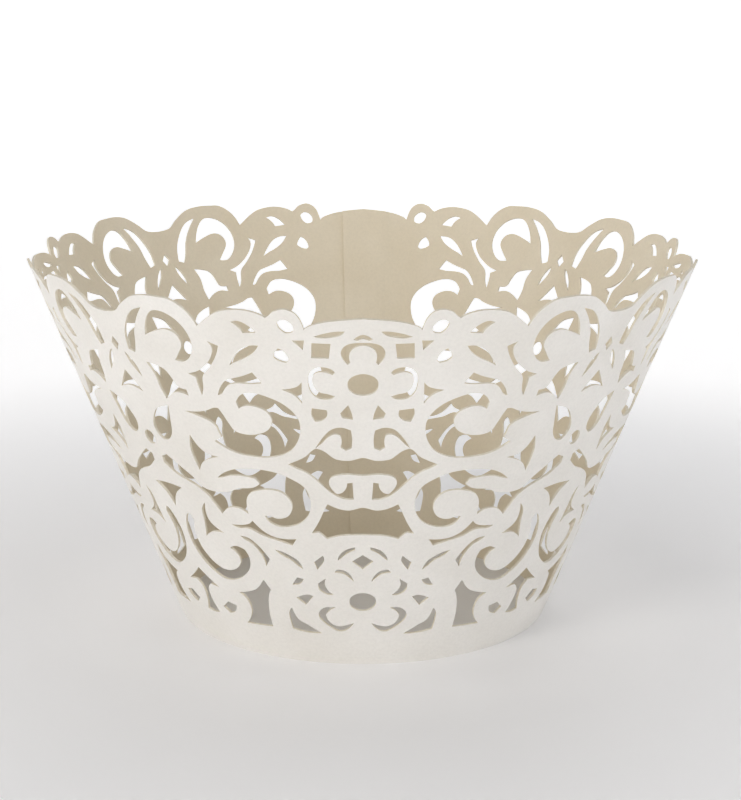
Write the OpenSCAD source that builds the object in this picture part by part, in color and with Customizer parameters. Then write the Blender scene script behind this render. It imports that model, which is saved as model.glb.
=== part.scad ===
// Laser-cut lace cupcake wrapper: one strip of paper rolled into a cone and glued at the back

/* [Wall] */
// Diameter round the foot
bottom_d = 48; // [42:1:56]
// Diameter round the top of the scallops
top_d = 85; // [76:1:96]
// Height of the highest scallop
wall_h = 48; // [40:1:58]
// Thickness of the paper
paper_t = 0.3; // [0.2:0.05:0.5]

/* [Seam] */
// Width of the glued lap where the two ends of the strip meet at the back, along the foot
lap_w = 3.6; // [2.5:0.1:4]
// Hairline gap beside the outer end, along the foot
hairline_w = 0.3; // [0.2:0.05:0.5]

/* [Hidden] */
$fn = 60;

// The flower panel comes four times round the wall, and each is mirrored about its middle
panels = 4;
panel_a = 360 / panels;
half_a = panel_a / 2;
bottom_r = bottom_d / 2;
top_r = top_d / 2;
slope_a = atan((top_r - bottom_r) / wall_h);
// Width of the paper seen level, and one degree of arc along the foot
level_t = paper_t / cos(slope_a);
foot_deg = 360 / (PI * bottom_d);
lap_a = lap_w * foot_deg;
hairline_a = hairline_w * foot_deg;

// Outlines are shares: across from the flower's middle (0) to the arrow's middle (1), and up
// the slope from the foot (0) to the highest scallop (1).

// Holes that stand clear of both middles
hole_shares = [
    // slit, corner and square above the top petal
    [[.062, .941], [.168, .927], [.106, .924]],
    [[.199, .917], [.241, .916], [.206, .893]],
    [[.110, .911], [.176, .912], [.179, .873], [.117, .872]],
    // the two seeds and the two leaves beside the flower
    [[.234, .940], [.262, .968], [.288, .945]],
    [[.296, .895], [.314, .870], [.265, .860]],
    [[.365, .931], [.397, .952], [.452, .954], [.415, .928]],
    [[.365, .899], [.422, .889], [.487, .843], [.405, .871]],
    // long forked slit
    [[.515, .891], [.555, .900], [.564, .853], [.668, .811], [.627, .755], [.600, .814],
     [.534, .860]],
    // side petal
    [[.099, .837], [.150, .851], [.199, .810], [.184, .774], [.112, .771], [.175, .803],
     [.162, .833]],
    // small corners below the flower
    [[.056, .753], [.084, .722], [.038, .715]],
    [[.136, .739], [.192, .743], [.184, .708], [.138, .716]],
    [[.223, .810], [.302, .788], [.227, .754]],
    // arch over the big scroll
    [[.373, .801], [.405, .829], [.500, .806], [.558, .761], [.480, .797]],
    // big scroll with its thorn
    [[.481, .730], [.470, .762], [.385, .774], [.290, .745], [.250, .680], [.300, .622],
     [.420, .600], [.623, .633], [.590, .658], [.732, .706], [.570, .726], [.520, .672],
     [.430, .662], [.368, .685], [.385, .732]],
    // top scroll, its outer crescent, and the leaf and fan under it
    [[.708, .841], [.650, .846], [.620, .888], [.650, .943], [.735, .965], [.790, .943],
     [.818, .895], [.715, .917], [.667, .882]],
    [[.800, .967], [.872, .945], [.925, .850], [.895, .842]],
    [[.970, .840], [.905, .779], [.948, .803]],
    [[.754, .793], [.785, .814], [.862, .824], [.807, .731], [.690, .749]],
    // seed and star between the scrolls
    [[.810, .713], [.828, .655], [.875, .611], [.934, .635], [.917, .678]],
    [[.742, .640], [.761, .597], [.747, .540], [.711, .569], [.624, .589]],
    // lower scroll with its long leaf
    [[.660, .528], [.600, .553], [.490, .567], [.345, .557], [.255, .520], [.240, .455],
     [.300, .414], [.410, .406], [.462, .436], [.350, .438], [.335, .498], [.402, .513],
     [.512, .496], [.545, .435], [.695, .424], [.745, .470], [.930, .520], [.945, .564],
     [.745, .490], [.600, .490], [.455, .520], [.478, .541], [.590, .539]],
    // spike, pointed slit and sickle over the small scroll
    [[.780, .447], [.828, .400], [.858, .344], [.724, .366], [.790, .389]],
    [[.324, .377], [.450, .379], [.533, .417], [.660, .397], [.500, .374], [.353, .356]],
    [[.628, .366], [.545, .354], [.488, .305], [.520, .285]],
    // small scroll
    [[.714, .326], [.640, .333], [.608, .300], [.635, .252], [.740, .228], [.860, .234],
     [.955, .280], [.966, .362], [.906, .398], [.905, .320], [.850, .272], [.740, .258],
     [.662, .285]],
    // leaf and small cuts beside the lower flower
    [[.308, .288], [.345, .322], [.452, .339], [.390, .314]],
    [[.203, .332], [.240, .290], [.248, .315]],
    [[.312, .261], [.385, .237], [.338, .242]],
    [[.275, .208], [.370, .199], [.320, .180]],
    // petals of the lower flower, from the top one round
    [[.037, .357], [.100, .346], [.124, .320], [.086, .334]],
    [[.045, .257], [.080, .290], [.150, .286]],
    [[.190, .267], [.240, .242], [.155, .216]],
    [[.150, .178], [.225, .176], [.250, .145], [.190, .111], [.125, .104], [.050, .132],
     [.200, .138]],
    // corner, pillar and seed over the foot band
    [[.245, .094], [.380, .132], [.408, .170], [.420, .096]],
    [[.540, .240], [.530, .190], [.545, .098], [.730, .098], [.680, .140], [.735, .190],
     [.610, .208]],
    [[.778, .144], [.850, .148], [.888, .128], [.830, .111]],
    // hook under the upper bracket
    [[.044, .637], [.042, .684], [.105, .695], [.190, .634], [.100, .672], [.066, .631]]
];

// Right halves of the holes that lie across the flower's middle, from the top down
flower_middle_shares = [
    [[0, .933], [.034, .921], [0, .923]],
    [[0, .914], [.060, .905], [.078, .876], [.054, .857], [.043, .893], [0, .905]],
    [[0, .612], [.110, .607], [.186, .636], [.230, .611], [.311, .588], [.225, .560],
     [.150, .516], [.040, .496], [.044, .544], [.100, .510], [.144, .543], [0, .563]],
    [[0, .474], [.065, .466], [.157, .482], [.246, .397], [.166, .382], [0, .395]],
    [[0, .336], [.053, .317], [0, .294]]
];

// Left halves of the holes that lie across the arrow's middle, from the top down
arrow_middle_shares = [
    [[1, .880], [.978, .862], [1, .838]],
    [[1, .787], [.928, .733], [1, .746]],
    [[1, .486], [.905, .477], [1, .413]],
    [[1, .230], [.872, .184], [.956, .190], [.962, .100], [1, .100]]
];

// Round holes: middle across and up, and radius up the slope. The first two are the hearts of
// the flowers and the last is the arrow's eye.
heart_shares = [[0, .806, .028], [0, .196, .027]];
eye_share = [1, .607, .019];

// Scalloped top edge, from just past the flower's middle to just past the arrow's middle
edge_shares = [
    [-.020, .974], [.082, .970], [.200, .943], [.225, .979], [.275, .988], [.331, .969],
    [.410, .986], [.500, .973], [.579, .937], [.620, .977], [.695, .998], [.816, .998],
    [.893, .968], [.940, .943], [1.020, .947]
];
// Height of the paper before the edge is cut
blank_share = 1.03;
// Plain paper on each side of the seam, and the height of the inner end
plain_share = .225;
lap_share = .962;

function wall_r(up) = bottom_r + up * (top_r - bottom_r);
function total(list, i = 0) = i == len(list) ? [0, 0] : list[i] + total(list, i + 1);
function middle(outline) = total(outline) / len(outline);
function nearest_across(outline) = min([for (p = outline) p[0]]);
// A half outline folded out about its middle line
function folded(half, line) = concat(half, [
    for (i = [len(half) - 1 : -1 : 0]) if (half[i][0] != line) [2 * line - half[i][0], half[i][1]]
]);
// A point of the wall, seen square on to the wall at another point
function seen_from(p, from) = let (
    turn = (p[0] - from[0]) * half_a,
    outward = wall_r(p[1]) * cos(turn) - wall_r(from[1]),
    upward = (p[1] - from[1]) * wall_h
) [wall_r(p[1]) * sin(turn), outward * sin(slope_a) + upward * cos(slope_a)];

// Slope of the wall from the foot to the highest scallop
slope_len = wall_h / cos(slope_a);

// How far the wall curves away inward from a flat cutter over the outline
function curve_depth(outline, from) = max([
    for (p = outline) wall_r(p[1]) * (1 - cos((p[0] - from[0]) * half_a))
]);

// Lays a shape on the inside of the wall at a point, with its Z along the wall's normal
module square_on(from, side) {
    rotate([0, 0, side * from[0] * half_a])
        translate([wall_r(from[1]), 0, from[1] * wall_h])
            rotate([90, 0, 90])
                rotate([slope_a, 0, 0])
                    children();
}

// Cuts an outline of shares through the wall, on the right (side 1) or mirrored (side -1)
module cut_through(outline, side) {
    from = middle(outline);
    inward = curve_depth(outline, from) + paper_t;
    square_on(from, side)
        translate([0, 0, -inward])
            linear_extrude(height = inward + 2.5 * paper_t)
                polygon([for (p = outline) let (q = seen_from(p, from)) [side * q[0], q[1]]]);
}

// Cuts a round hole through the wall
module drill_through(hole) {
    square_on(hole, 1)
        cylinder(r = hole[2] * slope_len, h = 5 * paper_t, center = true);
}

// A piece of the conical wall between two angles, set out or in from its place
module wall_piece(from_a, to_a, out = 0, high = blank_share, thick = level_t) {
    rotate([0, 0, from_a])
        rotate_extrude(angle = to_a - from_a)
            polygon([
                [bottom_r + out, 0],
                [bottom_r + out + thick, 0],
                [wall_r(high) + out + thick, high * wall_h],
                [wall_r(high) + out, high * wall_h]
            ]);
}

// One panel's holes that are clear of the seam, and its stretch of the scalloped edge
module panel_cuts(clear_share) {
    for (side = [-1, 1]) {
        for (outline = hole_shares)
            if (nearest_across(outline) >= clear_share)
                cut_through(outline, side);
        cut_through(concat(edge_shares, [[1.02, blank_share * 1.1], [-.02, blank_share * 1.1]]), side);
    }
    for (half = arrow_middle_shares)
        cut_through(folded(half, 1), 1);
    drill_through(eye_share);
    if (clear_share == 0) {
        for (half = flower_middle_shares)
            cut_through(folded(half, 0), 1);
        for (heart = heart_shares)
            drill_through(heart);
    }
}

// The wall of the rolled strip, a full turn but for the hairline at the back
module rolled_wall() {
    outer_end = 180 - lap_a / 2;
    wall_piece(outer_end + hairline_a - 360, outer_end);
}

// The inner end of the strip, glued under the outer end
module glued_lap() {
    wall_piece(180 - lap_a / 2 - hairline_a * 2, 180 + lap_a / 2, -level_t * .9, lap_share);
}

module wrapper() {
    color("ivory")
        rotate([0, 0, -90])
            difference() {
                union() {
                    rolled_wall();
                    glued_lap();
                }
                for (i = [0 : panels - 1])
                    rotate([0, 0, i * panel_a])
                        panel_cuts(i == panels / 2 ? plain_share : 0);
            }
}

wrapper();
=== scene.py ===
"""Laser-cut lace cupcake wrapper, standing alone on a pale floor."""

import math

import bpy
from mathutils import Euler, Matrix, Vector, kdtree, noise
from mathutils.geometry import delaunay_2d_cdt


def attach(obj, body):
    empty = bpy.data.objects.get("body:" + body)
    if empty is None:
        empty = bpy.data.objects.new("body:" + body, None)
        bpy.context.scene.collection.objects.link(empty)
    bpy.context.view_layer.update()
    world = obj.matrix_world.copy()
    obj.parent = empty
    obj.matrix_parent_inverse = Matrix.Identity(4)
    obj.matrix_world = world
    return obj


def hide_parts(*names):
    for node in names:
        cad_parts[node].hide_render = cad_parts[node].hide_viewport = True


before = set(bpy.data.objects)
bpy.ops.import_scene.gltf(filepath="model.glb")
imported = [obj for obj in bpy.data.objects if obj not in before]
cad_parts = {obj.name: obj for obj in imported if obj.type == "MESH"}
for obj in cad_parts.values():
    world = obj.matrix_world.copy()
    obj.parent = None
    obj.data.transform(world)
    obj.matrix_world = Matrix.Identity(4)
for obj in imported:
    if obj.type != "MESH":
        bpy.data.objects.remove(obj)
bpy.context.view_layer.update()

# Real sizes in metres, as in the CAD model
FOOT_R = 0.024
TOP_R = 0.0425
HEIGHT = 0.048
PAPER = 0.0003
LAP_W = 0.0036
HAIRLINE_W = 0.0003
# The inner end clears the outer end by this, and bends in over this many hairlines
TUCK_GAP = 0.00002
TUCK_BEND = 1.4
# How far the rolled paper strays from the cone at the top, with a finer ripple over it
WAVE, WAVE_SCALE = 0.00035, (38, 38, 12)
RIPPLE, RIPPLE_SCALE = 0.00006, (120, 120, 60)
# The ripple has its full size above this share of the height
RIPPLE_FROM = 0.25

# How fine the mesh is: spacing along a cut edge, along a plain edge and inside the paper
EDGE_STEP = 0.00034
PLAIN_STEP = EDGE_STEP * 2
INNER_STEP = 0.0011
# Inner points, in steps: from one row to the next, and clear of a cut edge
ROW_SHARE = 0.87
CLEAR_SHARE = 0.45
# Points of neighbouring stretches nearer than this are one
WELD = 0.00001
# An outline keeps a sharp tip where it turns by more than this
CORNER_TURN = math.radians(52)
# Turns that count as the same when the top edge is cut to length, and points that the
# triangulation takes as one
SAME_TURN = 1e-7
SAME_POINT = 1e-8
# The triangulation's first kind of output: triangles that fill the hull
FILLED_HULL = 0

# The flower panel comes four times round the wall
PANELS = 4
HALF = math.pi / PANELS
SLANT = math.hypot(HEIGHT, TOP_R - FOOT_R)
FLARE = (TOP_R - FOOT_R) / SLANT
UPRIGHT = HEIGHT / SLANT
FLAT_FOOT = FOOT_R / FLARE

# Outlines are read as (across, up). Up is 0 at the foot and 49.4 at the highest scallop.
# Across is 0 at the flower's middle, and the arrow's middle line is where ARROW_LINE puts it.
UP_TOP = 49.4
ARROW_LINE = [
    (5, 1.02), (8, 1.01), (12, 1.0), (16, 0.985), (19, 0.97), (22, 0.957), (30, 0.95),
    (37, 0.953), (40, 0.96), (42, 0.968), (44, 0.975), (46, 0.985), (48, 0.985),
]

CLEAR_HOLES = [
    # above the top petal: arched slit, square, small corner
    [(.060, 46.5), (.095, 46.45), (.135, 46.15), (.165, 45.8), (.140, 45.6), (.100, 45.75), (.072, 46.05)],
    [(.108, 44.95), (.172, 45.0), (.175, 43.1), (.115, 43.1)],
    [(.196, 45.3), (.238, 45.25), (.222, 44.75), (.202, 44.1)],
    # seeds and leaves beside the flower
    [(.232, 46.3), (.230, 47.0), (.248, 47.65), (.268, 47.75), (.284, 47.3), (.276, 46.6), (.255, 46.1)],
    [(.287, 44.2), (.303, 43.4), (.305, 43.0), (.287, 42.6), (.262, 42.4), (.252, 42.7), (.257, 43.3),
     (.270, 43.9)],
    [(.358, 46.0), (.385, 46.9), (.415, 47.35), (.443, 47.15), (.428, 46.85), (.412, 46.3), (.405, 45.85)],
    [(.354, 44.4), (.385, 44.35), (.415, 43.9), (.442, 43.0), (.468, 41.65), (.445, 42.1), (.41, 42.65),
     (.375, 43.45)],
    # long forked slit
    [(.50, 44.0), (.54, 44.5), (.525, 43.6), (.545, 42.0), (.592, 40.6), (.64, 40.0), (.610, 39.6),
     (.608, 38.6), (.600, 37.3), (.588, 38.3), (.580, 39.9), (.545, 41.2), (.515, 42.7)],
    # side petal
    [(.095, 41.3), (.108, 41.75), (.135, 42.0), (.160, 41.9), (.180, 41.4), (.190, 40.5), (.190, 39.6),
     (.180, 38.6), (.160, 38.05), (.135, 37.85), (.110, 38.0), (.098, 38.3), (.125, 38.6), (.150, 38.75),
     (.168, 39.3), (.176, 40.2), (.170, 41.0), (.150, 41.35), (.125, 41.3), (.105, 41.05)],
    # corners below the flower
    [(.053, 37.2), (.082, 36.1), (.075, 35.5), (.036, 35.3), (.040, 36.1)],
    [(.130, 36.5), (.183, 36.7), (.187, 35.9), (.175, 34.95), (.150, 35.1), (.130, 35.7)],
    [(.213, 40.0), (.235, 39.35), (.288, 38.95), (.245, 38.3), (.217, 37.25)],
    # arch over the big scroll
    [(.357, 39.6), (.372, 40.3), (.388, 40.95), (.42, 40.45), (.46, 40.0), (.49, 39.65), (.515, 38.8),
     (.534, 37.6), (.518, 37.75), (.500, 38.55), (.478, 39.15), (.44, 39.4), (.40, 39.4)],
    # big scroll with its thorn
    [(.460, 36.05), (.467, 36.9), (.440, 37.95), (.395, 38.25), (.340, 37.85), (.285, 37.0), (.245, 35.7),
     (.232, 34.3), (.245, 32.4), (.280, 30.9), (.345, 29.95), (.430, 29.7), (.520, 30.05), (.596, 31.25),
     (.560, 31.9), (.568, 32.6), (.575, 33.4), (.610, 34.1), (.700, 34.85), (.650, 34.95), (.60, 35.3),
     (.565, 35.8), (.545, 35.85), (.530, 35.0), (.515, 34.0), (.495, 33.0), (.45, 32.65), (.40, 32.85),
     (.355, 33.6), (.338, 34.8), (.350, 35.8), (.390, 36.45), (.430, 36.5)],
    # top scroll, its outer crescent, and the leaf and fan under it
    [(.685, 41.55), (.640, 41.6), (.607, 43.0), (.607, 44.7), (.640, 46.5), (.690, 47.55), (.740, 47.6),
     (.778, 46.4), (.797, 44.3), (.750, 45.0), (.705, 45.4), (.665, 45.0), (.645, 43.8), (.665, 42.5)],
    [(.785, 47.8), (.835, 47.2), (.872, 46.0), (.897, 44.0), (.900, 42.0), (.868, 41.7), (.855, 43.0),
     (.845, 44.7), (.82, 46.4)],
    [(.928, 41.5), (.905, 40.9), (.880, 39.8), (.866, 38.5), (.890, 39.3), (.915, 40.4)],
    [(.722, 39.2), (.745, 40.1), (.785, 40.5), (.825, 40.7), (.798, 39.2), (.788, 37.5), (.772, 36.1),
     (.715, 37.2), (.660, 37.0), (.665, 37.8), (.700, 38.0)],
    # seed and star between the scrolls
    [(.775, 35.2), (.790, 33.0), (.803, 31.4), (.832, 30.35), (.862, 30.15), (.890, 30.9), (.896, 32.0),
     (.878, 33.2), (.845, 34.4)],
    [(.710, 31.6), (.728, 29.5), (.715, 26.7), (.680, 28.1), (.597, 29.1), (.665, 29.6)],
    # lower scroll with its long leaf
    [(.632, 26.1), (.590, 27.0), (.530, 27.7), (.440, 28.0), (.360, 27.8), (.290, 27.0), (.240, 25.9),
     (.222, 24.2), (.230, 22.6), (.262, 21.3), (.310, 20.5), (.370, 20.15), (.418, 20.5), (.443, 21.5),
     (.420, 21.6), (.385, 21.3), (.335, 21.7), (.308, 22.8), (.310, 24.0), (.340, 25.0), (.385, 25.3),
     (.440, 25.1), (.490, 24.5), (.515, 23.4), (.522, 21.5), (.560, 22.1), (.615, 22.0), (.665, 20.95),
     (.690, 22.2), (.715, 23.3), (.770, 24.4), (.860, 25.4), (.922, 26.7), (.920, 27.6), (.885, 28.0),
     (.840, 27.1), (.770, 25.6), (.715, 24.2), (.600, 24.25), (.545, 24.95), (.470, 25.35), (.435, 26.0),
     (.450, 26.65), (.50, 26.8), (.56, 26.7), (.60, 26.3)],
    # spike, pointed slit and sickle over the small scroll
    [(.748, 22.1), (.782, 21.0), (.797, 19.2), (.825, 17.0), (.770, 17.9), (.695, 18.1), (.755, 19.2),
     (.765, 20.4)],
    [(.310, 18.6), (.360, 18.45), (.420, 18.6), (.470, 19.3), (.512, 20.6), (.545, 19.95), (.632, 19.6),
     (.600, 19.25), (.540, 19.35), (.480, 18.6), (.400, 18.05), (.338, 17.6)],
    [(.605, 18.1), (.56, 17.95), (.515, 16.9), (.475, 15.2), (.505, 14.1), (.512, 15.5), (.545, 17.0),
     (.585, 17.65)],
    # small scroll
    [(.695, 16.0), (.650, 16.45), (.605, 16.1), (.592, 15.0), (.605, 13.6), (.650, 12.3), (.720, 11.3),
     (.800, 11.0), (.870, 11.8), (.925, 13.1), (.955, 14.9), (.957, 16.8), (.935, 18.4), (.905, 19.6),
     (.883, 19.9), (.870, 19.1), (.893, 17.6), (.900, 16.0), (.885, 14.6), (.845, 13.3), (.790, 12.55),
     (.735, 12.6), (.680, 13.3), (.652, 14.4), (.662, 15.4)],
    # leaf and three small cuts beside the lower flower
    [(.303, 14.2), (.323, 15.4), (.36, 16.1), (.40, 16.55), (.435, 16.75), (.405, 16.05), (.36, 15.4),
     (.33, 14.7)],
    [(.195, 16.4), (.190, 15.7), (.230, 14.3), (.243, 15.4)],
    [(.310, 12.75), (.345, 12.95), (.380, 11.75), (.335, 12.0)],
    [(.270, 10.3), (.305, 10.5), (.370, 9.9), (.320, 8.9)],
    # petals of the lower flower, from the top one round
    [(.036, 17.75), (.065, 17.55), (.095, 17.1), (.118, 16.3), (.122, 15.8), (.105, 16.1), (.085, 16.6),
     (.060, 17.05), (.036, 17.35)],
    [(.045, 12.7), (.06, 13.6), (.09, 14.3), (.13, 14.45), (.145, 14.0), (.10, 13.85), (.07, 13.3)],
    [(.19, 13.1), (.235, 12.3), (.232, 11.3), (.19, 10.65), (.155, 10.7), (.185, 11.3), (.20, 12.2)],
    [(.150, 8.8), (.215, 8.7), (.252, 7.8), (.245, 6.9), (.200, 5.9), (.140, 5.15), (.090, 5.45),
     (.050, 6.5), (.100, 6.1), (.150, 5.95), (.195, 6.6), (.210, 7.6), (.185, 8.3)],
    # corner, pillar and seed over the foot band
    [(.245, 4.7), (.330, 5.9), (.380, 6.6), (.408, 8.3), (.432, 7.4), (.428, 5.0), (.330, 4.65)],
    [(.515, 10.6), (.545, 12.0), (.60, 10.5), (.65, 9.9), (.735, 9.35), (.695, 8.6), (.682, 7.2),
     (.700, 6.0), (.750, 4.7), (.560, 4.9), (.560, 7.0), (.545, 9.0), (.530, 10.0)],
    [(.790, 7.1), (.850, 7.4), (.905, 6.4), (.865, 5.6), (.815, 6.1)],
    # hook under the upper bracket
    [(.043, 31.5), (.040, 32.8), (.045, 33.9), (.080, 34.25), (.115, 34.0), (.145, 33.1), (.168, 32.1),
     (.182, 31.4), (.155, 32.1), (.130, 32.95), (.105, 33.35), (.085, 33.2), (.080, 32.4), (.085, 31.6),
     (.065, 31.2)],
]

# Right halves of the holes across the flower's middle, from the top down
FLOWER_HOLES = [
    [(0, 46.1), (.018, 45.9), (.033, 45.5), (.02, 45.35), (0, 45.6)],
    [(0, 45.1), (.04, 45.0), (.064, 44.6), (.075, 43.8), (.068, 43.0), (.052, 42.35), (.043, 42.6),
     (.047, 43.4), (.04, 44.1), (.022, 44.6), (0, 44.75)],
    [(0, 41.2), (.028, 41.0), (.048, 40.5), (.054, 39.8), (.048, 39.1), (.028, 38.6), (0, 38.4)],
    [(0, 30.25), (.05, 29.85), (.105, 30.0), (.128, 30.5), (.150, 31.05), (.178, 31.35), (.195, 31.1),
     (.220, 30.3), (.250, 29.75), (.298, 29.05), (.270, 28.6), (.235, 28.15), (.200, 27.4), (.170, 26.5),
     (.140, 25.6), (.110, 24.95), (.075, 24.55), (.038, 24.5), (.040, 25.6), (.042, 26.85), (.064, 26.75),
     (.068, 26.1), (.085, 25.45), (.107, 25.25), (.125, 25.8), (.138, 26.6), (.133, 27.3), (.110, 27.75),
     (.06, 27.95), (0, 27.8)],
    [(0, 23.4), (.055, 23.0), (.10, 23.15), (.150, 23.8), (.165, 23.0), (.178, 22.2), (.20, 21.0),
     (.235, 19.55), (.20, 19.75), (.165, 18.85), (.10, 19.35), (0, 19.5)],
    [(0, 16.65), (.053, 15.7), (0, 14.55)],
    [(0, 11.05), (.038, 10.87), (.066, 10.35), (.073, 9.7), (.066, 9.05), (.038, 8.53), (0, 8.35)],
]

# Left halves of the holes across the arrow's middle: (distance from the middle line, up)
ARROW_HOLES = [
    [(0, 43.3), (.02, 42.4), (0, 41.5)],
    [(0, 39.0), (.067, 36.4), (0, 36.9)],
    [(0, 30.95), (.021, 30.67), (.03, 30.0), (.021, 29.33), (0, 29.05)],
    [(0, 23.7), (.09, 23.5), (.035, 22.3), (0, 20.4)],
    [(0, 11.6), (.05, 10.6), (.13, 9.3), (.06, 9.5), (.025, 8.6), (.025, 7.0), (.055, 5.2), (0, 5.0)],
]

# Scalloped top edge from the flower's middle to the arrow's middle
TOP_EDGE = [
    (0, 48.0), (.12, 47.6), (.18, 47.0), (.195, 46.6), (.215, 48.3), (.25, 49.0), (.29, 48.7), (.31, 48.1),
    (.32, 47.9), (.35, 48.4), (.40, 48.7), (.46, 48.5), (.50, 48.0), (.57, 46.3), (.60, 48.0), (.65, 49.2),
    (.70, 49.4), (.76, 49.4), (.82, 49.0), (.88, 47.8), (.92, 46.8), (.985, 46.5),
]
# Plain paper on each side of the seam, as a share across
PLAIN_SHARE = 0.225

# Camera, fitted to the photograph, in pixels, metres, radians and millimetres of sensor
PHOTO_W, PHOTO_H = 741, 800
FOCAL_PX = 1930
CAMERA_AWAY = 0.255
CAMERA_PITCH = math.radians(15.0)
CAMERA_ROLL = math.radians(-0.1)
AIM_Z = 0.0209
AIM_PX = (363.8, 448.3)
SENSOR = 36.0

# Material slots: the outer face, the inner face and the cut edge
OUTER, INNER, CUT = 0, 1, 2


def arrow_line(up):
    """Where the arrow's middle line lies at this height, in the across readings."""
    points = ARROW_LINE
    if up <= points[0][0]:
        return points[0][1]
    for (a, x), (b, y) in zip(points, points[1:]):
        if up <= b:
            return x + (y - x) * (up - a) / (b - a)
    return points[-1][1]


def share(reading):
    """A reading as shares of the way to the arrow's middle line and of the height."""
    across, up = reading
    return across / arrow_line(up), up / UP_TOP


def arrow_share(reading):
    """The same for a reading that starts from the arrow's middle line."""
    away, up = reading
    return 1 - away / arrow_line(up), up / UP_TOP


def folded(half, line):
    """A half outline with its mirror image about the line."""
    return half + [(2 * line - x, y) for x, y in reversed(half) if abs(x - line) > 1e-9]


def flat(point):
    """A point in shares on the strip as it is cut, before rolling."""
    far = FLAT_FOOT + SLANT * point[1]
    turn = point[0] * HALF * FLARE
    return Vector((far * math.sin(turn), far * math.cos(turn)))


def rolled(spot, out=0.0):
    """A point of the flat strip on the cone, set out from it along the wall's normal."""
    far = math.hypot(spot[0], spot[1])
    turn = math.atan2(spot[0], spot[1]) / FLARE
    level = far * FLARE + out * UPRIGHT
    up = (far - FLAT_FOOT) * UPRIGHT - out * FLARE
    return Vector((level * math.sin(turn), -level * math.cos(turn), up))


def smooth(outline, closed=True):
    """A curve through the outline's points that keeps its sharp tips, in steps of EDGE_STEP."""
    points = [flat(p) for p in outline]
    n = len(points)

    def at(i):
        return points[i % n] if closed else points[max(0, min(n - 1, i))]

    def is_corner(i):
        if not closed and i in (0, n - 1):
            return True
        before, after = at(i) - at(i - 1), at(i + 1) - at(i)
        return before.angle(after, 0) > CORNER_TURN

    curve = []
    for i in range(n if closed else n - 1):
        a, b = at(i), at(i + 1)
        span = (b - a).length
        starts_sharp, ends_sharp = is_corner(i), is_corner((i + 1) % n if closed else i + 1)
        lead = (b - a) if starts_sharp else (b - at(i - 1)).normalized() * span
        trail = (b - a) if ends_sharp else (at(i + 2) - a).normalized() * span
        if starts_sharp and not ends_sharp:
            lead = (b - a) * 1.5 - trail * 0.5
        if ends_sharp and not starts_sharp:
            trail = (b - a) * 1.5 - lead * 0.5
        steps = max(1, round(span / EDGE_STEP))
        for k in range(steps):
            t = k / steps
            curve.append(
                a * (2 * t**3 - 3 * t**2 + 1) + lead * (t**3 - 2 * t**2 + t)
                + b * (3 * t**2 - 2 * t**3) + trail * (t**3 - t**2)
            )
    if not closed:
        curve.append(points[-1])
    return curve


def mirrored(curve):
    return [Vector((-p.x, p.y)) for p in reversed(curve)]


def all_holes():
    """Every hole of one panel as (nearest share across, flat outline)."""
    holes = []
    for reading in CLEAR_HOLES:
        outline = [share(p) for p in reading]
        curve = smooth(outline)
        nearest = min(p[0] for p in outline)
        holes += [(nearest, curve), (nearest, mirrored(curve))]
    for reading in ARROW_HOLES:
        curve = smooth(folded([arrow_share(p) for p in reading], 1))
        holes += [(1.0, curve), (1.0, mirrored(curve))]
    for reading in FLOWER_HOLES:
        holes.append((0.0, smooth(folded([share(p) for p in reading], 0))))
    return holes


def top_edge(low, high):
    """The scalloped edge between two shares across, from left to right."""
    half = [share(p) for p in TOP_EDGE]
    half[-1] = (1.0, half[-1][1])
    right = smooth(half, closed=False)
    whole = mirrored(right)[:-1] + right
    limit = HALF * FLARE

    def turn(p):
        return math.atan2(p.x, p.y)

    clear = SAME_TURN * 100
    inside = [p for p in whole if low * limit + clear < turn(p) < high * limit - clear]
    ends = []
    for side in (low, high):
        for p, q in zip(whole, whole[1:]):
            if turn(p) - SAME_TURN <= side * limit <= turn(q) + SAME_TURN:
                t = (side * limit - turn(p)) / (turn(q) - turn(p))
                far = p.length + (q.length - p.length) * t
                ends.append(Vector((far * math.sin(side * limit), far * math.cos(side * limit))))
                break
    return [ends[0]] + inside + [ends[1]]


def sheet_outline(low, high):
    """The outside of one flat stretch: its foot, its two ends and its scalloped top."""
    top = top_edge(low, high)
    foot_steps = max(2, round((high - low) * HALF * FOOT_R / PLAIN_STEP))
    foot = [flat((low + (high - low) * i / foot_steps, 0)) for i in range(foot_steps + 1)]

    def side(start, end):
        steps = round((end - start).length / PLAIN_STEP)
        return [start + (end - start) * i / steps for i in range(1, steps)]

    return foot + side(foot[-1], top[-1]) + top[::-1] + side(top[0], foot[0])


def inner_points(low, high, curves):
    """A staggered grid inside the sheet, clear of every cut edge."""
    spots = [p for curve in curves for p in curve]
    tree = kdtree.KDTree(len(spots))
    for i, p in enumerate(spots):
        tree.insert((p.x, p.y, 0), i)
    tree.balance()
    found = []
    rows = round(SLANT / (INNER_STEP * ROW_SHARE))
    for row in range(1, rows):
        up = row / rows
        width = HALF * (FOOT_R + (TOP_R - FOOT_R) * up)
        step = INNER_STEP / width
        first = math.ceil(low / step)
        for k in range(first, int(high / step) + 1):
            across = (k + (0.5 if row % 2 else 0.0)) * step
            if low < across < high:
                p = flat((across, up))
                if tree.find((p.x, p.y, 0))[2] > INNER_STEP * CLEAR_SHARE:
                    found.append(p)
    return found


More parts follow.
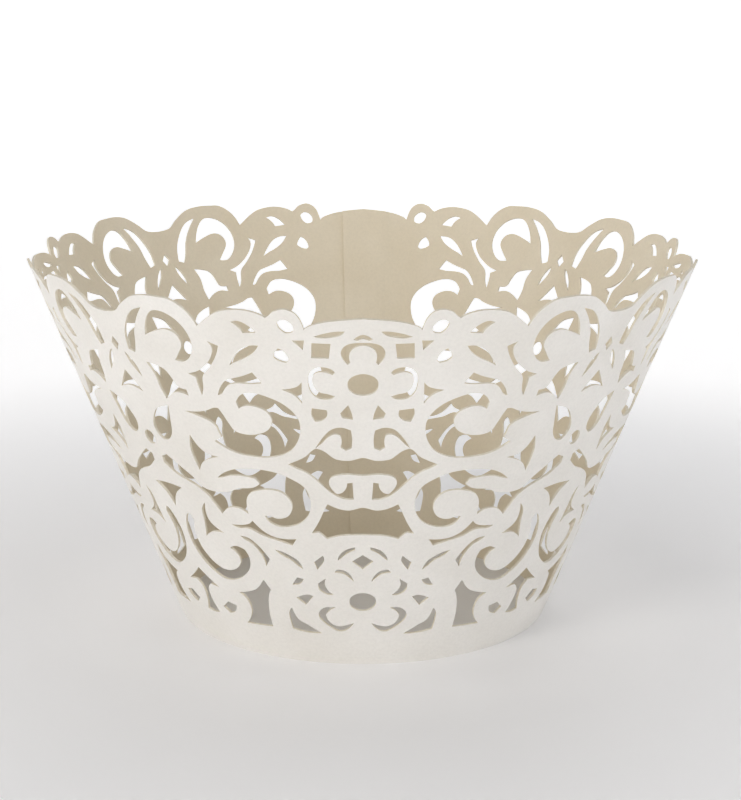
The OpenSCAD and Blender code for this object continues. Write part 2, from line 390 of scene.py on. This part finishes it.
def cut_sheet(low, high, clear=0.0):
    """Triangles of one flat stretch of the strip, with its holes cut out."""
    outline = sheet_outline(low, high)
    holes = [curve for nearest, curve in all_holes() if nearest >= clear]
    limit = HALF * FLARE
    holes = [c for c in holes if any(low * limit < math.atan2(p.x, p.y) < high * limit for p in c)]
    points, faces = [], []
    for curve in [outline] + holes:
        area = sum(p.x * q.y - q.x * p.y for p, q in zip(curve, curve[1:] + curve[:1]))
        ordered = curve if area > 0 else curve[::-1]
        faces.append(list(range(len(points), len(points) + len(ordered))))
        points += ordered
    points += inner_points(low, high, [outline] + holes)
    spots, _, tris, _, _, sources = delaunay_2d_cdt(points, [], faces, FILLED_HULL, SAME_POINT)
    kept = [t for t, source in zip(tris, sources) if list(source) == [0]]
    return spots, kept


def cloud(point, scale):
    """Smooth noise from -1 to 1 at a point of space that is stretched by the scale."""
    return noise.noise(Vector([value * times for value, times in zip(point, scale)]))


def warp(point):
    """The slight unevenness of rolled paper, growing from a foot that stays on the floor."""
    share_up = max(0.0, point.z / HEIGHT)
    wave = share_up * WAVE * cloud(point, WAVE_SCALE)
    ripple = min(1.0, share_up / RIPPLE_FROM) * RIPPLE * cloud(point, RIPPLE_SCALE)
    away = Vector((point.x, point.y, 0)).normalized()
    moved = point + away * (wave + ripple)
    moved.z = max(0.0, moved.z)
    return moved


def build_strip():
    """The whole strip rolled up: three panels, and the back one in two parts that overlap.

    Each stretch is (panels from the front, from and to in shares, where its holes start). The
    last is the inner end, which is tucked under the outer end.
    """
    lap = LAP_W / 2 / (HALF * FOOT_R)
    hairline = HAIRLINE_W / (HALF * FOOT_R)
    bend = TUCK_BEND * hairline
    stretches = [(turn, -1, 1, 0.0) for turn in (-1, 0, 1)]
    stretches += [(2, -lap + hairline, 1, PLAIN_SHARE), (-2, -1, lap, PLAIN_SHARE)]
    outer, inner, faces, index = [], [], [], {}
    for turn, low, high, clear in stretches:
        spots, tris = cut_sheet(low, high, clear)
        middle = turn * 2 * HALF
        ids = []
        for p in spots:
            across = math.atan2(p.x, p.y) / (HALF * FLARE)
            tucked = 0.0
            if turn == -2:
                t = min(1.0, max(0.0, (across + lap + bend) / bend))
                tucked = -(PAPER + TUCK_GAP) * t * t * (3 - 2 * t)
            turned = Euler((0, 0, middle)).to_matrix()
            spot_out = warp(turned @ rolled(p, PAPER + tucked))
            spot_in = warp(turned @ rolled(p, tucked))
            key = tuple(round(c / WELD) for c in spot_out)
            if key not in index:
                index[key] = len(outer)
                outer.append(spot_out)
                inner.append(spot_in)
            ids.append(index[key])
        for tri in tris:
            corners = [ids[i] for i in tri]
            if len(set(corners)) == 3:
                faces.append(corners)
    return outer, inner, faces


def lace_mesh():
    """The strip as one closed mesh: both faces of the paper and its cut edges."""
    outer, inner, faces = build_strip()
    n = len(outer)
    edges = {}
    for a, b, c in faces:
        for edge in ((a, b), (b, c), (c, a)):
            edges[edge] = True
    rim = [(a, b) for a, b in edges if (b, a) not in edges]
    front = [tuple(f) for f in faces]
    back = [tuple(n + i for i in reversed(f)) for f in faces]
    walls = [(b, a, n + a, n + b) for a, b in rim]
    mesh = bpy.data.meshes.new("lace_wrapper")
    mesh.from_pydata(outer + inner, [], front + back + walls)
    mesh.validate()
    slots = [OUTER] * len(front) + [INNER] * len(back) + [CUT] * len(walls)
    for polygon, slot in zip(mesh.polygons, slots):
        polygon.use_smooth = True
        polygon.material_index = slot
    sharp = {tuple(sorted(e)) for e in rim} | {tuple(sorted((n + a, n + b))) for a, b in rim}
    for edge in mesh.edges:
        if tuple(sorted(edge.vertices)) in sharp:
            edge.use_edge_sharp = True
    return mesh


def node(tree, kind, **settings):
    """A new shader node, with its inputs and its own properties set by name."""
    made = tree.nodes.new(kind)
    for key, value in settings.items():
        if key in made.inputs:
            made.inputs[key].default_value = value
        else:
            setattr(made, key, value)
    return made


def new_material(name):
    """A new material with its node tree and its shader."""
    material = bpy.data.materials.new(name)
    material.use_nodes = True
    return material, material.node_tree, material.node_tree.nodes["Principled BSDF"]


def ramp(tree, low, high, from_pos=0.3, to_pos=0.7):
    """A node that turns a value into a colour between two."""
    made = node(tree, "ShaderNodeValToRGB")
    made.color_ramp.elements[0].position = from_pos
    made.color_ramp.elements[0].color = (*low, 1)
    made.color_ramp.elements[1].position = to_pos
    made.color_ramp.elements[1].color = (*high, 1)
    return made


def paper_material(name, dark, light, smoothest, sheen):
    """Card paper: cloudy tone, fibre flecks and a fine felt surface."""
    material, tree, shader = new_material(name)
    place = node(tree, "ShaderNodeTexCoord")
    blotch = node(tree, "ShaderNodeTexNoise", Scale=90.0, Detail=3.0)
    fibre = node(tree, "ShaderNodeTexNoise", Scale=2600.0, Detail=4.0, Roughness=0.65)
    felt = node(tree, "ShaderNodeTexNoise", Scale=700.0, Detail=5.0, Roughness=0.6)
    tone = ramp(tree, dark, light)
    fleck = ramp(tree, (0.93, 0.93, 0.93), (1, 1, 1), from_pos=0.35, to_pos=0.6)
    mix = node(tree, "ShaderNodeMix", data_type="RGBA", blend_type="MULTIPLY", Factor=0.6)
    rough_range = 0.18
    rough = node(tree, "ShaderNodeMapRange")
    rough.inputs["To Min"].default_value = smoothest
    rough.inputs["To Max"].default_value = smoothest + rough_range
    bump = node(tree, "ShaderNodeBump", Strength=0.25, Distance=0.00006)
    fine = node(tree, "ShaderNodeBump", Strength=0.2, Distance=0.00003)
    links = tree.links
    for texture in (blotch, fibre, felt):
        links.new(place.outputs["Object"], texture.inputs["Vector"])
    links.new(blotch.outputs["Fac"], tone.inputs["Fac"])
    links.new(fibre.outputs["Fac"], fleck.inputs["Fac"])
    links.new(tone.outputs["Color"], mix.inputs["A"])
    links.new(fleck.outputs["Color"], mix.inputs["B"])
    links.new(mix.outputs["Result"], shader.inputs["Base Color"])
    links.new(felt.outputs["Fac"], rough.inputs["Value"])
    links.new(rough.outputs["Result"], shader.inputs["Roughness"])
    links.new(felt.outputs["Fac"], bump.inputs["Height"])
    links.new(fibre.outputs["Fac"], fine.inputs["Height"])
    links.new(bump.outputs["Normal"], fine.inputs["Normal"])
    links.new(fine.outputs["Normal"], shader.inputs["Normal"])
    shader.inputs["Sheen Weight"].default_value = sheen
    shader.inputs["Sheen Roughness"].default_value = 0.4
    shader.inputs["Specular IOR Level"].default_value = 0.4
    return material


def cut_material():
    """The laser's cut edge: a little darker and warmer than the face, with faint streaks."""
    material, tree, shader = new_material("lace_cut_edge")
    place = node(tree, "ShaderNodeTexCoord")
    streak = node(tree, "ShaderNodeTexNoise", Scale=1500.0, Detail=3.0)
    tone = ramp(tree, (0.74, 0.67, 0.54), (0.86, 0.81, 0.70))
    bump = node(tree, "ShaderNodeBump", Strength=0.3, Distance=0.00003)
    links = tree.links
    links.new(place.outputs["Object"], streak.inputs["Vector"])
    links.new(streak.outputs["Fac"], tone.inputs["Fac"])
    links.new(tone.outputs["Color"], shader.inputs["Base Color"])
    links.new(streak.outputs["Fac"], bump.inputs["Height"])
    links.new(bump.outputs["Normal"], shader.inputs["Normal"])
    shader.inputs["Roughness"].default_value = 0.75
    return material


def build_wrapper():
    piece = bpy.data.objects.new("lace_wrapper", lace_mesh())
    bpy.context.scene.collection.objects.link(piece)
    pearl_face = paper_material(
        "pearl_face", dark=(0.82, 0.79, 0.735), light=(0.88, 0.855, 0.81), smoothest=0.45, sheen=0.15
    )
    # Painted shade: the inner face is coloured darker and creamier than the outer face, standing in for
    # the shade inside the wrapper
    shaded_cream_back = paper_material(
        "shaded_cream_back", dark=(0.78, 0.69, 0.53), light=(0.84, 0.76, 0.61), smoothest=0.62, sheen=0.05
    )
    for material in (pearl_face, shaded_cream_back, cut_material()):
        piece.data.materials.append(material)
    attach(piece, "root")
    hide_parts("wrapper")
    return piece


def floor_mesh(flat_r=0.55, curve=0.30, rise=0.65, turns=96, bends=16):
    """A round floor that curves up into a wall on every side."""
    profile = [(0.0, 0.0)]
    for i in range(bends + 1):
        a = math.radians(90 * i / bends)
        profile.append((flat_r + curve * math.sin(a), curve - curve * math.cos(a)))
    profile.append((flat_r + curve, rise))
    points = [Vector((0, 0, 0))]
    for k in range(turns):
        a = 2 * math.pi * k / turns
        points += [Vector((far * math.cos(a), far * math.sin(a), up)) for far, up in profile[1:]]
    n = len(profile) - 1
    faces = []
    for k in range(turns):
        here, there = 1 + k * n, 1 + (k + 1) % turns * n
        faces.append((0, here, there))
        faces += [(here + i, here + i + 1, there + i + 1, there + i) for i in range(n - 1)]
    mesh = bpy.data.meshes.new("floor")
    mesh.from_pydata(points, [], faces)
    for polygon in mesh.polygons:
        polygon.use_smooth = True
    return mesh


def floor_material():
    """Pale, with painted light: the floor glows from a little way off the wrapper outward, so the floor
    round its foot and inside stays darker, a painted shade.
    """
    material, tree, shader = new_material("pale_floor")
    shader.inputs["Base Color"].default_value = (0.96, 0.955, 0.96, 1)
    shader.inputs["Roughness"].default_value = 0.6
    place = node(tree, "ShaderNodeTexCoord")
    away = node(tree, "ShaderNodeVectorMath", operation="LENGTH")
    # Painted light: the floor's emission grows with the distance from the wrapper, leaving painted shade
    # round its foot
    glow = node(tree, "ShaderNodeMapRange")
    glow.inputs["From Min"].default_value = 0.045
    glow.inputs["From Max"].default_value = 0.15
    glow.inputs["To Max"].default_value = 0.34
    tree.links.new(place.outputs["Object"], away.inputs[0])
    tree.links.new(away.outputs["Value"], glow.inputs["Value"])
    tree.links.new(glow.outputs["Result"], shader.inputs["Emission Strength"])
    shader.inputs["Emission Color"].default_value = (1, 1, 1, 1)
    return material


def build_floor():
    floor = bpy.data.objects.new("floor", floor_mesh())
    bpy.context.scene.collection.objects.link(floor)
    floor.data.materials.append(floor_material())


def area_light(name, place, size, power, colour=(1, 1, 1)):
    """A round light that faces the middle of the wrapper."""
    data = bpy.data.lights.new(name, "AREA")
    data.shape = "DISK"
    data.size = size
    data.energy = power
    data.color = colour
    light = bpy.data.objects.new(name, data)
    light.location = place
    facing = Vector((0, 0, HEIGHT / 2)) - Vector(place)
    light.rotation_euler = facing.to_track_quat("-Z", "Y").to_euler()
    bpy.context.scene.collection.objects.link(light)


def build_lights():
    """Three lights, low enough to leave the floor inside the wrapper in shade."""
    area_light("key", place=(-0.42, -0.55, 0.44), size=0.30, power=1.4, colour=(1.0, 0.97, 0.92))
    area_light("fill", place=(0.50, -0.45, 0.40), size=0.40, power=0.32, colour=(0.86, 0.93, 1.0))
    area_light("back", place=(0.10, 0.60, 0.50), size=0.60, power=0.7)
    world = bpy.data.worlds.new("studio")
    world.use_nodes = True
    background = world.node_tree.nodes["Background"]
    background.inputs["Color"].default_value = (0.97, 0.97, 0.985, 1)
    background.inputs["Strength"].default_value = 0.13
    bpy.context.scene.world = world
    bpy.context.scene.view_settings.view_transform = "Standard"


def build_camera():
    """The camera fitted to the photograph."""
    data = bpy.data.cameras.new("camera")
    data.sensor_fit = "VERTICAL"
    data.sensor_height = SENSOR
    data.lens = FOCAL_PX / PHOTO_H * SENSOR
    data.shift_x = (PHOTO_W / 2 - AIM_PX[0]) / PHOTO_H
    data.shift_y = (AIM_PX[1] - PHOTO_H / 2) / PHOTO_H
    data.clip_start = 0.01
    camera = bpy.data.objects.new("camera", data)
    away = Vector((0, -math.cos(CAMERA_PITCH), math.sin(CAMERA_PITCH))) * CAMERA_AWAY
    camera.location = Vector((0, 0, AIM_Z)) + away
    camera.rotation_euler = (math.pi / 2 - CAMERA_PITCH, CAMERA_ROLL, 0)
    bpy.context.scene.collection.objects.link(camera)
    bpy.context.scene.camera = camera


build_wrapper()
build_floor()
build_lights()
build_camera()
